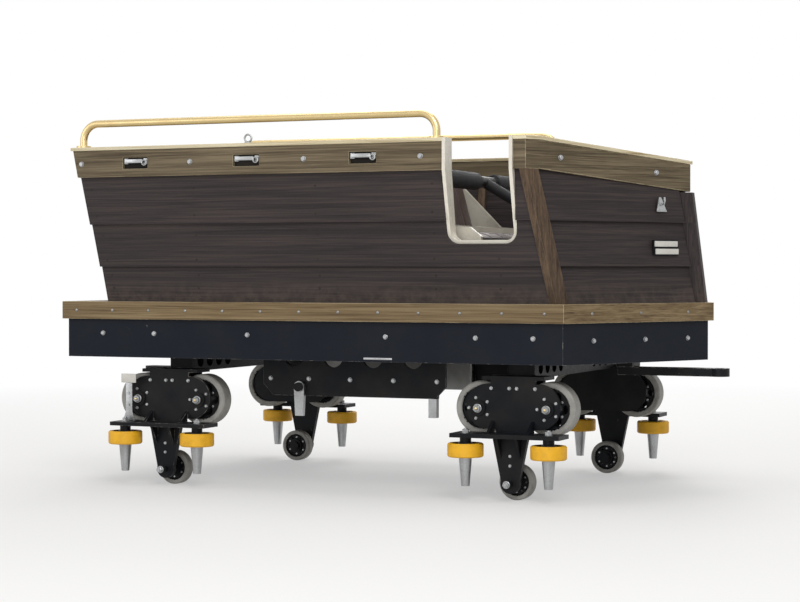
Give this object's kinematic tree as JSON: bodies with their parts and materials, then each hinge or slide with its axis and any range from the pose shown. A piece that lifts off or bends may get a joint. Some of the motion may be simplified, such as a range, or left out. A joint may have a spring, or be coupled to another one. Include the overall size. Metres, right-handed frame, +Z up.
{
  "type": "roller coaster car",
  "caption": "Open family coaster car with a lapped plank tub, side cut-outs, brass handrails, lap bars, steering axles and caged wheel carriers that wrap a round rail.",
  "frame": {"origin": "on the floor under the middle of the car's outline, level with the lowest wheel treads", "axes": "+X the way of travel, +Y the car's left side, +Z up"},
  "size_m": [2.3, 1.316, 1.297],
  "materials": {
    "tread_plate": "matt grey deck paint",
    "tan_board": "varnished tan board",
    "skirt_paint": "satin blue black",
    "plank_dark": "dark stained lapped plank",
    "post_brown": "brown stained",
    "band_olive": "olive brown stained",
    "cap_cream": "pale cream edge",
    "rim_white": "pale gel coat",
    "brass_tube": "worn brass",
    "seat_shell": "pale gel coat",
    "seat_pad": "dark brown vinyl",
    "bar_steel": "black powder coat with foam grips",
    "frame_black": "satin black",
    "fin_steel": "worn bright steel",
    "carrier_black": "satin black",
    "tread_grey": "pale grey polyurethane tread on a steel hub",
    "tread_yellow": "golden yellow polyurethane"
  },
  "bodies": {
    "car": {"floor_pan": "tread_plate", "ledge": "tan_board", "skirt": "skirt_paint", "side_left": "plank_dark", "side_right": "plank_dark", "stern_panel": "plank_dark", "nose_panels": "plank_dark", "corner_posts": "post_brown", "gunwale_sides": "band_olive", "gunwale_ends": "band_olive", "gunwale_caps": "cap_cream", "entry_rims": "rim_white", "handrails": "brass_tube", "seat_front": "seat_shell", "seat_rear": "seat_shell", "cushions_front": "seat_pad", "cushions_rear": "seat_pad", "bar_brackets": "bar_steel", "frame_rails": "frame_black", "frame_cross": "frame_black", "frame_struts": "frame_black", "side_frames": "frame_black", "brake_fin": "fin_steel", "drawbar": "frame_black", "coupling_jaw": "frame_black"},
    "pawl": {"pawl": "fin_steel"},
    "lap_bar_front": {"lap_bar_front": "bar_steel"},
    "lap_bar_rear": {"lap_bar_rear": "bar_steel"},
    "axle_front": {"axle_beam_front": "carrier_black", "carrier_fl": "carrier_black", "carrier_fr": "carrier_black"},
    "axle_rear": {"axle_beam_rear": "carrier_black", "carrier_rl": "carrier_black", "carrier_rr": "carrier_black"},
    "run_fl_a": {"run_fl_a": "tread_grey"},
    "guide_fl_a": {"guide_fl_a": "tread_yellow"},
    "run_fl_b": {"run_fl_b": "tread_grey"},
    "guide_fl_b": {"guide_fl_b": "tread_yellow"},
    "stop_fl": {"stop_fl": "tread_grey"},
    "run_fr_a": {"run_fr_a": "tread_grey"},
    "guide_fr_a": {"guide_fr_a": "tread_yellow"},
    "run_fr_b": {"run_fr_b": "tread_grey"},
    "guide_fr_b": {"guide_fr_b": "tread_yellow"},
    "stop_fr": {"stop_fr": "tread_grey"},
    "run_rl_a": {"run_rl_a": "tread_grey"},
    "guide_rl_a": {"guide_rl_a": "tread_yellow"},
    "run_rl_b": {"run_rl_b": "tread_grey"},
    "guide_rl_b": {"guide_rl_b": "tread_yellow"},
    "stop_rl": {"stop_rl": "tread_grey"},
    "run_rr_a": {"run_rr_a": "tread_grey"},
    "guide_rr_a": {"guide_rr_a": "tread_yellow"},
    "run_rr_b": {"run_rr_b": "tread_grey"},
    "guide_rr_b": {"guide_rr_b": "tread_yellow"},
    "stop_rr": {"stop_rr": "tread_grey"}
  },
  "joints": [
    {"name": "pawl_swing", "type": "hinge", "parent": "car", "child": "pawl", "pos_m": [-0.29, -0.4, 0.352], "axis": [0, 1, 0], "range_deg": [0, 35]},
    {"name": "front_steer", "type": "hinge", "parent": "car", "child": "axle_front", "pos_m": [0.56, 0, 0.5], "axis": [0, 0, 1], "range_deg": [-10, 10]},
    {"name": "rear_steer", "type": "hinge", "parent": "car", "child": "axle_rear", "pos_m": [-0.74, 0, 0.5], "axis": [0, 0, 1], "range_deg": [-10, 10]},
    {"name": "front_lap_bar", "type": "hinge", "parent": "car", "child": "lap_bar_front", "pos_m": [0.52, 0, 0.664], "axis": [0, 1, 0], "range_deg": [0, 45]},
    {"name": "rear_lap_bar", "type": "hinge", "parent": "car", "child": "lap_bar_rear", "pos_m": [-0.395, 0, 0.664], "axis": [0, 1, 0], "range_deg": [0, 45]},
    {"name": "run_fl_a_roll", "type": "hinge", "parent": "axle_front", "child": "run_fl_a", "pos_m": [0.68, 0.49, 0.305], "axis": [0, 1, 0], "continuous": true},
    {"name": "guide_fl_a_roll", "type": "hinge", "parent": "axle_front", "child": "guide_fl_a", "pos_m": [0.705, 0.598, 0.17], "axis": [0, 0, 1], "continuous": true},
    {"name": "run_fl_b_roll", "type": "hinge", "parent": "axle_front", "child": "run_fl_b", "pos_m": [0.44, 0.49, 0.305], "axis": [0, 1, 0], "continuous": true},
    {"name": "guide_fl_b_roll", "type": "hinge", "parent": "axle_front", "child": "guide_fl_b", "pos_m": [0.415, 0.598, 0.17], "axis": [0, 0, 1], "continuous": true},
    {"name": "stop_fl_roll", "type": "hinge", "parent": "axle_front", "child": "stop_fl", "pos_m": [0.56, 0.49, 0.06], "axis": [0, 1, 0], "continuous": true},
    {"name": "run_fr_a_roll", "type": "hinge", "parent": "axle_front", "child": "run_fr_a", "pos_m": [0.68, -0.49, 0.305], "axis": [0, 1, 0], "continuous": true},
    {"name": "guide_fr_a_roll", "type": "hinge", "parent": "axle_front", "child": "guide_fr_a", "pos_m": [0.705, -0.598, 0.17], "axis": [0, 0, 1], "continuous": true},
    {"name": "run_fr_b_roll", "type": "hinge", "parent": "axle_front", "child": "run_fr_b", "pos_m": [0.44, -0.49, 0.305], "axis": [0, 1, 0], "continuous": true},
    {"name": "guide_fr_b_roll", "type": "hinge", "parent": "axle_front", "child": "guide_fr_b", "pos_m": [0.415, -0.598, 0.17], "axis": [0, 0, 1], "continuous": true},
    {"name": "stop_fr_roll", "type": "hinge", "parent": "axle_front", "child": "stop_fr", "pos_m": [0.56, -0.49, 0.06], "axis": [0, 1, 0], "continuous": true},
    {"name": "run_rl_a_roll", "type": "hinge", "parent": "axle_rear", "child": "run_rl_a", "pos_m": [-0.62, 0.49, 0.305], "axis": [0, 1, 0], "continuous": true},
    {"name": "guide_rl_a_roll", "type": "hinge", "parent": "axle_rear", "child": "guide_rl_a", "pos_m": [-0.595, 0.598, 0.17], "axis": [0, 0, 1], "continuous": true},
    {"name": "run_rl_b_roll", "type": "hinge", "parent": "axle_rear", "child": "run_rl_b", "pos_m": [-0.86, 0.49, 0.305], "axis": [0, 1, 0], "continuous": true},
    {"name": "guide_rl_b_roll", "type": "hinge", "parent": "axle_rear", "child": "guide_rl_b", "pos_m": [-0.885, 0.598, 0.17], "axis": [0, 0, 1], "continuous": true},
    {"name": "stop_rl_roll", "type": "hinge", "parent": "axle_rear", "child": "stop_rl", "pos_m": [-0.74, 0.49, 0.06], "axis": [0, 1, 0], "continuous": true},
    {"name": "run_rr_a_roll", "type": "hinge", "parent": "axle_rear", "child": "run_rr_a", "pos_m": [-0.62, -0.49, 0.305], "axis": [0, 1, 0], "continuous": true},
    {"name": "guide_rr_a_roll", "type": "hinge", "parent": "axle_rear", "child": "guide_rr_a", "pos_m": [-0.595, -0.598, 0.17], "axis": [0, 0, 1], "continuous": true},
    {"name": "run_rr_b_roll", "type": "hinge", "parent": "axle_rear", "child": "run_rr_b", "pos_m": [-0.86, -0.49, 0.305], "axis": [0, 1, 0], "continuous": true},
    {"name": "guide_rr_b_roll", "type": "hinge", "parent": "axle_rear", "child": "guide_rr_b", "pos_m": [-0.885, -0.598, 0.17], "axis": [0, 0, 1], "continuous": true},
    {"name": "stop_rr_roll", "type": "hinge", "parent": "axle_rear", "child": "stop_rr", "pos_m": [-0.74, -0.49, 0.06], "axis": [0, 1, 0], "continuous": true}
  ]
}
